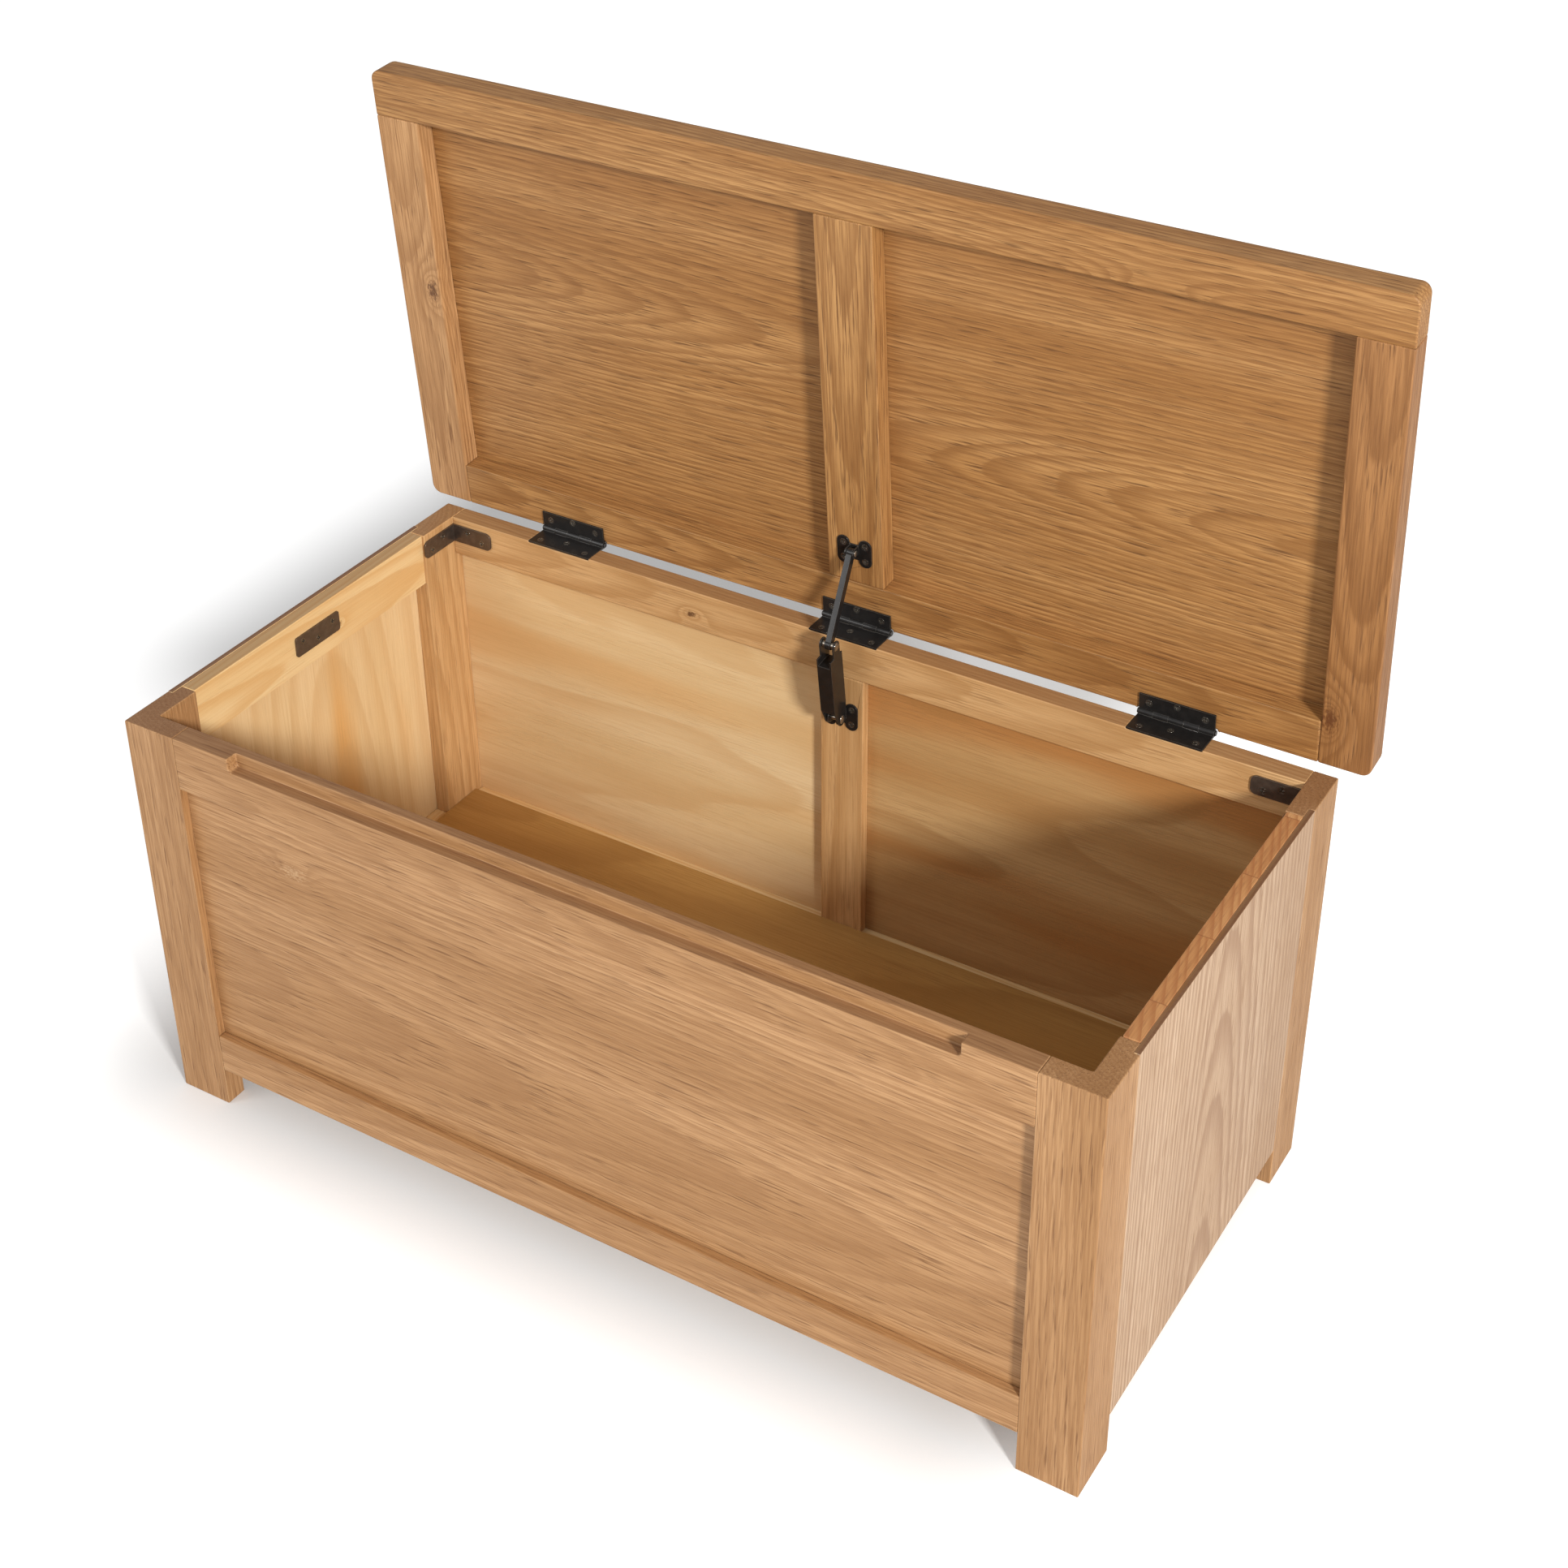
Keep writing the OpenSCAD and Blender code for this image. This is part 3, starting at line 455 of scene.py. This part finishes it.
def wood(name, tone, order, seed, on_lid=False, inside=None, top_shade=0.0, **cut):
    """A board's material. Inside is how far from the box's middle an inner veneer reaches, and its grain."""
    material = bpy.data.materials.new(name)
    material.use_nodes = True
    tree = material.node_tree
    shader = tree.nodes["Principled BSDF"]
    place = grain_place(tree, order, on_lid)
    colour, look = grain_colour(tree, place, tone, seed, **cut)
    if inside is not None:
        veneer_reach, veneer_cut = inside
        inner, _ = grain_colour(tree, place, seed=seed + INNER_SEED_STEP, **veneer_cut)
        from_middle = calc(tree, "ABSOLUTE", parts_of(tree, place)[2])
        colour = blend_colour(tree, calc(tree, "LESS_THAN", from_middle, veneer_reach), colour, inner)
    # Faces that point up are darkened towards a brown: painted shade.
    if top_shade:
        up = parts_of(tree, add(tree, "NewGeometry").outputs["Normal"])[2]
        colour = blend_colour(tree, remap(tree, up, 0.7, 0.95, 0.0, top_shade), colour, TOP_SHADE_BROWN)
    worn = use_group(tree, wear, {"Vector": place})
    colour = blend_colour(tree, calc(tree, "MULTIPLY", worn["Edge"], WEAR_STRENGTH), colour, WORN_OAK)
    height = calc(tree, "SUBTRACT", calc(tree, "MULTIPLY", look["Fibre"], 0.35), look["Pores"])
    bump = add(tree, "Bump", {"Strength": 0.35, "Distance": 0.4 * MM, "Height": height})
    fill(tree, shader, {"Base Color": colour, "Roughness": lacquer_roughness(tree, look, worn),
                        "Specular IOR Level": 0.42, "Normal": bump.outputs[0]})
    return material


print("lacquer's roughness is about", GLOSS)

# %% [markdown]
# ## Which board runs which way
# Posts, stiles and the side panels have upright grain; rails and the front and back panels have level
# grain. Rings close together and a distant heart make the quiet straight grain of rails, and a near heart
# with a lean makes the arches of a flat-sawn panel. A board's side is the place of the heart line across the
# board, and its heart is the line's place through the board with the sign turned. The side panels are oak
# outside and pale ply inside, and the veneer's line is the middle of their thickness. Places and sizes are
# in millimetres.

# %% Boards of the box and their figure
side_low, side_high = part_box("left_side_panel")
panel_middle = (abs(side_low[0]) + abs(side_high[0])) / 2
PALE_VENEER = (panel_middle, dict(tone="ply", ring=30, heart=500, side=20, lean=0.2, wobble=110,
                                  heartwood=(tint(224, 168, 98), -0.03)))
SIDE_BOARDS = dict(tone="pale_oak", order="zyx", ring=6, wobble=14, top_shade=0.9, width=118, uneven=0.7,
                   inside=PALE_VENEER)
BOARDS = {
    "front_left_post": dict(tone="oak", order="zxy", ring=4, heart=120, side=-430, lean=0.02, top_shade=0.55),
    "front_right_post": dict(tone="oak", order="zxy", ring=4, heart=90, side=560, lean=0.03, top_shade=0.28),
    # The back-left post's lighter golden tone is painted light, lifting a post that the left wall shades.
    "back_left_post": dict(tone="golden", order="zyx", ring=5, heart=560, side=150, lean=0.03, top_shade=0.55),
    "back_right_post": dict(tone="oak", order="zyx", ring=5, heart=-430, side=150, lean=0.03, top_shade=0.45),
    "front_top_rail": dict(tone="oak", order="xzy", ring=4, heart=370, side=395, lean=0.04, top_shade=0.45),
    "front_bottom_rail": dict(tone="oak", order="xzy", ring=4, heart=390, side=90, lean=0.03),
    "front_panel": dict(tone="oak", order="xzy", ring=6, heart=420, side=180, lean=0.04, wobble=20,
                        knot=(-320, 330, -240), knot_size=13, knot_tone=tint(214, 178, 136), knot_depth=0.5),
    "back_top_rail": dict(tone="golden", order="xzy", ring=5, heart=-90, side=430, lean=0.04,
                          knot=(-176, 416, 200), knot_size=6, top_shade=0.45),
    "back_bottom_rail": dict(tone="pine", order="xzy", heart=-90, side=60, lean=0.03),
    "back_middle_stile": dict(tone="golden", order="zxy", ring=7, heart=-150, side=10, lean=0.02),
    "back_left_panel": dict(tone="ply", order="xzy", ring=26, heart=400, side=240, lean=0.03, wobble=190,
                            heartwood=(tint(226, 184, 128), 0.0)),
    # The right back panel's darker ply and heartwood are painted shade where the right side wall keeps the
    # lamp off.
    "back_right_panel": dict(tone="shaded_ply", order="xzy", ring=26, heart=400, side=260, lean=0.03,
                             wobble=190, heartwood=(tint(186, 130, 74), 0.04)),
    "left_top_rail": dict(tone="pine", order="yzx", heart=560, side=400, lean=0.03, wobble=22,
                          knot=(10, 408, -479), knot_size=5, top_shade=0.5),
    "right_top_rail": dict(tone="red_pine", order="yzx", ring=7, heart=-420, side=405, lean=0.35, length=95,
                           uneven=1.8, heartwood=(tint(166, 92, 52), -0.08), top_shade=0.1),
    "left_bottom_rail": dict(tone="pine", order="yzx", heart=560, side=60),
    "right_bottom_rail": dict(tone="pine", order="yzx", heart=-420, side=60),
    "left_side_panel": dict(heart=560, side=-30, lean=0.04, **SIDE_BOARDS),
    "right_side_panel": dict(heart=-430, side=-20, lean=0.05, **SIDE_BOARDS),
    # The floor's dark ply tone is painted shade for a floor lying deep inside the box.
    "floor_panel": dict(tone="shaded_floor_ply", order="xyz", ring=30, heart=500, lean=0.03, wobble=190),
    "front_floor_batten": dict(tone="pine", order="xzy", heart=280, side=75),
    "back_floor_batten": dict(tone="pine", order="xzy", heart=-120, side=75),
}
print(len(BOARDS), "boards in the box")

# %% [markdown]
# ## The lid's boards
# The lid lies flat in its closed place, so its boards face up and down. Its stiles run from front to back.
# The front rail has no knot of its own, only the bend in the rings beside one.

# %% Boards of the lid and their figure
BOARDS.update({
    "lid_front_rail": dict(tone="lid_oak", order="xyz", ring=4, heart=-360, side=-150, wobble=24,
                           knot=(300, -186, 450), knot_size=22, knot_depth=0.0),
    "lid_back_rail": dict(tone="lid_oak", order="xyz", ring=4, heart=-360, side=200, lean=0.04),
    "lid_left_stile": dict(tone="pale_stile", order="yxz", ring=4, heart=-360, side=-505, lean=0.03,
                           knot=(-25, -486, 446), knot_size=10, knot_tone=tint(88, 50, 24)),
    "lid_right_stile": dict(tone="stile_oak", order="yxz", ring=4, heart=-350, side=505, lean=0.03,
                            knot=(176, 484, 446), knot_size=12, knot_tone=tint(96, 54, 26)),
    "lid_middle_stile": dict(tone="lid_oak", order="yxz", ring=4, heart=-370, lean=0.02, wobble=6),
    "lid_left_panel": dict(tone="lid_oak", order="xyz", ring=5, heart=-380, side=-60, lean=0.07, wobble=26),
    "lid_right_panel": dict(tone="lid_oak", order="xyz", ring=5, heart=-390, side=20, lean=-0.06, wobble=30),
})
for seed, (name, grain) in enumerate(BOARDS.items(), start=1):
    board = nodes[name]
    board.data.materials.clear()
    board.data.materials.append(wood(name + "_wood", seed=seed, on_lid=name in lid_nodes, **grain))
print(len(BOARDS), "boards have their own grain")

# %% [markdown]
# ## Eased edges
# No board leaves a workshop with a knife edge: each arris is sanded round by a millimetre or two. A Bevel
# modifier does the same on the frame's own shapes. The shapes arrive as triangles with split corners, so a
# Weld joins them and a planar Decimate clears the needless triangles first, and weighted normals keep faces
# flat.

# %% Ease the edges
PANEL_EASE, LID_EASE, BOX_EASE, STEEL_EASE = 0.4 * MM, 1.8 * MM, 1.3 * MM, 0.25 * MM
SHARP_ANGLE, FLAT_ANGLE = math.radians(35), math.radians(0.4)


def ease(piece, radius, segments=3):
    weld = piece.modifiers.new("weld", "WELD")
    weld.merge_threshold = 0.01 * MM
    flatten = piece.modifiers.new("flatten", "DECIMATE")
    flatten.decimate_type = "DISSOLVE"
    flatten.angle_limit = FLAT_ANGLE
    bevel = piece.modifiers.new("ease", "BEVEL")
    bevel.width = radius
    bevel.segments = segments
    bevel.limit_method = "ANGLE"
    bevel.angle_limit = SHARP_ANGLE
    bevel.use_clamp_overlap = False
    bevel.miter_outer = "MITER_ARC"
    normals = piece.modifiers.new("normals", "WEIGHTED_NORMAL")
    normals.keep_sharp = False
    normals.weight = 90


for name in BOARDS:
    frame_ease = LID_EASE if name in lid_nodes else BOX_EASE
    ease(nodes[name], PANEL_EASE if "panel" in name else frame_ease)
print("the lid's frame is rounded by", LID_EASE / MM, "mm and the box's by", BOX_EASE / MM, "mm")

# %% [markdown]
# ## Black hardware
# The hinges and the stay are steel under black paint, so they stay dark and only the clear coat catches the
# light. The corner braces and side plates are bronzed, and the screws, rivets and spring are bare, so all
# of those are metallic. Edges are rubbed paler on all of them, and that pale rim also serves as a painted
# highlight on small edges such as the hinge knuckles. The surface is faintly uneven.

# %% Steel recipe
COAT_ROUGHNESS = 0.10
STEEL_SHINE = 0.35
# The reach of the pale edges, which are rubbed wear and painted highlight at once.
STEEL_WEAR_HIGHLIGHT_REACH = 0.6 * MM
GRAIN_SCALE, MOTTLE_SCALE = 1400.0, 160.0
MOTTLE_LIFT = 1.3    # how much lighter the mottled patches are


def steel(name, colour, wear_highlight_tone, rough, edge, metallic, coat=0.0):
    """A steel's material. Its pale edges are partly rubbed wear and partly painted highlight; edge says how
    strongly they show.
    """
    material = bpy.data.materials.new(name)
    material.use_nodes = True
    tree = material.node_tree
    place = add(tree, "TexCoord").outputs["Object"]
    worn = use_group(tree, wear, {"Vector": place, "Reach": STEEL_WEAR_HIGHLIGHT_REACH})
    mottle = noise(tree, place, MOTTLE_SCALE, 3.0)
    lighter = [level * MOTTLE_LIFT for level in colour[:3]] + [1.0]
    base = blend_colour(tree, remap(tree, mottle, 0.35, 0.7), colour, lighter)
    # Pale edges: rubbed wear, and also painted highlight on small edges.
    base = blend_colour(tree, calc(tree, "MULTIPLY", worn["Edge"], edge), base, wear_highlight_tone)
    roughness = calc(tree, "ADD", remap(tree, mottle, 0.3, 0.7, rough - 0.04, rough + 0.05),
                     calc(tree, "MULTIPLY", worn["Edge"], -0.08))
    grain = noise(tree, place, GRAIN_SCALE, 3.0)
    bump = add(tree, "Bump", {"Strength": 0.12, "Distance": 0.1 * MM, "Height": grain})
    fill(tree, tree.nodes["Principled BSDF"], {
        "Base Color": base, "Metallic": metallic, "Roughness": roughness, "Normal": bump.outputs[0],
        "Coat Weight": coat, "Coat Roughness": COAT_ROUGHNESS, "Specular IOR Level": STEEL_SHINE})
    return material


black_steel = steel("black_steel", tint(27, 25, 24), tint(128, 122, 114), 0.34, 0.7, 0.0, 0.25)
bronze_steel = steel("bronze_steel", tint(98, 86, 76), tint(180, 166, 146), 0.34, 0.5, 0.7, 0.1)
dark_screw = steel("dark_screw", tint(112, 106, 98), tint(190, 184, 172), 0.30, 0.6, 0.9)
rivet_steel = steel("rivet_steel", tint(150, 142, 130), tint(220, 212, 198), 0.26, 0.5, 0.9)
print("four steels mixed")

# %% [markdown]
# ## Which steel goes where
# The frame's record names a finish for each piece. All screws share one dull bare steel, whatever the piece
# they hold is finished in. The spring is already round wire, so it is the one steel piece that isn't eased.

# %% Hardware finished
slots = {part["node"]: part["material_slot"] for part in frame["record"]["subparts"]}
finish = {"black_steel": black_steel, "grey_steel": bronze_steel, "bright_steel": rivet_steel}
hardware = [name for name in nodes if slots[name] in finish]
for name in hardware:
    nodes[name].data.materials.clear()
    nodes[name].data.materials.append(dark_screw if "screws" in name else finish[slots[name]])
    if name != "stay_spring":
        ease(nodes[name], STEEL_EASE, segments=2)
print(len(hardware), "steel pieces finished")

# %% [markdown]
# ## Floor
# The box stands on a plain pale floor. To the camera alone the floor also glows, a painted light, more with
# distance from the box and from its shadow, so that it fades to white at the picture's edges. Light Path's
# "Is Camera Ray" keeps that glow from lighting the wood.

# %% Floor laid and coloured
FLOOR_SIZE = 60
FLOOR_TONES = (0.80, 0.80, 0.80, 1), (0.83, 0.83, 0.83, 1)
WHITE = (1.0, 1.0, 1.0, 1.0)

bpy.ops.mesh.primitive_plane_add(size=FLOOR_SIZE, location=(0, 0, cad_box[0][2]))
floor = bpy.context.object
floor.name = "floor"
floor_material = bpy.data.materials.new("pale_floor")
floor_material.use_nodes = True
floor_tree = floor_material.node_tree
spot = add(floor_tree, "TexCoord").outputs["Object"]
floor_shader = floor_tree.nodes["Principled BSDF"]
fill(floor_tree, floor_shader, {
    "Base Color": blend_colour(floor_tree, noise(floor_tree, spot, 3.0), *FLOOR_TONES),
    "Roughness": 0.9, "Specular IOR Level": 0.1, "Emission Color": WHITE})
floor.data.materials.append(floor_material)
print("floor laid at", round(cad_box[0][2], 4), "m")

# %% [markdown]
# ## Where the floor glows
# Two rectangles stay without glow: one under the box, whose soft shadow reaches out in front of it, and one
# behind it on the left, where the shadows of box and lid fall. Against the glowing floor round them, the
# rectangles add painted shadow to the lamps' own. Outside both, the glow rises over about a quarter of a
# metre, measured from the nearer one.

# %% The floor's glow
BOX_SHADOW = (-0.50, -0.22), (0.34, 0.22)     # low and high corner on the floor, in metres
LID_SHADOW = (-0.95, 0.40), (-0.05, 1.00)
GLOW_FADE = 0.24
GLOW_STRENGTH = 0.62


def beyond(low, high):
    """How far a spot of the floor lies outside a rectangle, in metres."""
    gaps = []
    for axis in (0, 1):
        middle, half = (low[axis] + high[axis]) / 2, (high[axis] - low[axis]) / 2
        reach = calc(floor_tree, "ABSOLUTE", calc(floor_tree, "SUBTRACT", spot_axes[axis], middle))
        gaps.append(calc(floor_tree, "MAXIMUM", calc(floor_tree, "SUBTRACT", reach, half), 0.0))
    return length_of(floor_tree, add(floor_tree, "CombineXYZ", {0: gaps[0], 1: gaps[1]}).outputs[0])


spot_axes = parts_of(floor_tree, spot)
away = calc(floor_tree, "MINIMUM", beyond(*BOX_SHADOW), beyond(*LID_SHADOW))
# The glow is painted light seen only by the camera; where it is left out near the box, it is painted shadow.
glow = remap(floor_tree, away, 0.0, GLOW_FADE, 0.0, GLOW_STRENGTH)
to_camera = add(floor_tree, "LightPath").outputs["Is Camera Ray"]
fill(floor_tree, floor_shader, {"Emission Strength": calc(floor_tree, "MULTIPLY", to_camera, glow)})
print("the glow rises over", GLOW_FADE, "m")

# %% [markdown]
# ## Light
# One small strong lamp well to the right draws the lid's shadow strips and shades the right half of the
# inside. A wide weak one fills from the left, and a pale surround keeps the rest soft.

# %% Lamps and surround
centre = (Vector(cad_box[0]) + Vector(cad_box[1])) / 2


def lamp(name, place, size, power, colour):
    """A square area lamp that looks at the middle of the box."""
    light = bpy.data.lights.new(name, "AREA")
    light.shape = "RECTANGLE"
    light.size = light.size_y = size
    light.energy = power
    light.color = colour
    holder = bpy.data.objects.new(name, light)
    bpy.context.scene.collection.objects.link(holder)
    holder.location = place
    holder.rotation_euler = (centre - Vector(place)).to_track_quat("-Z", "Y").to_euler()


lamp("key", place=(4.9, -3.3, 2.95), size=0.8, power=400, colour=(1.0, 0.99, 0.97))
lamp("fill", place=(-2.5, -3.2, 2.4), size=2.0, power=46, colour=(1.0, 0.99, 0.98))
world = bpy.data.worlds.new("surround")
bpy.context.scene.world = world
world.use_nodes = True
sky = world.node_tree.nodes["Background"]
fill(world.node_tree, sky, {"Color": WHITE, "Strength": 0.46})
bpy.context.scene.view_settings.view_transform = "Standard"
print(len(bpy.data.lights), "lamps and a pale surround")

# %% [markdown]
# ## Camera
# The view is from the front right and above, as a person stands to look into the box. The place, the three
# angles and the lens are plain values, and a small shift frames the box without tilting the picture.

# %% Camera
EYE = Vector((1.0366, -1.5940, 1.7356))
TILT, ROLL, TURN = 59.513, 0.162, 30.862
SENSOR, LENS = 36.0, 57.51
SHIFT_RIGHT, SHIFT_UP = -0.0150, -0.1343

camera_data = bpy.data.cameras.new("camera")
camera_data.sensor_width = SENSOR
camera_data.lens = LENS
camera_data.shift_x, camera_data.shift_y = SHIFT_RIGHT, SHIFT_UP
camera = bpy.data.objects.new("camera", camera_data)
camera.location = EYE
camera.rotation_euler = [math.radians(angle) for angle in (TILT, ROLL, TURN)]
bpy.context.scene.collection.objects.link(camera)
bpy.context.scene.camera = camera
print("camera placed", round((EYE - centre).length, 2), "m from the middle of the box")
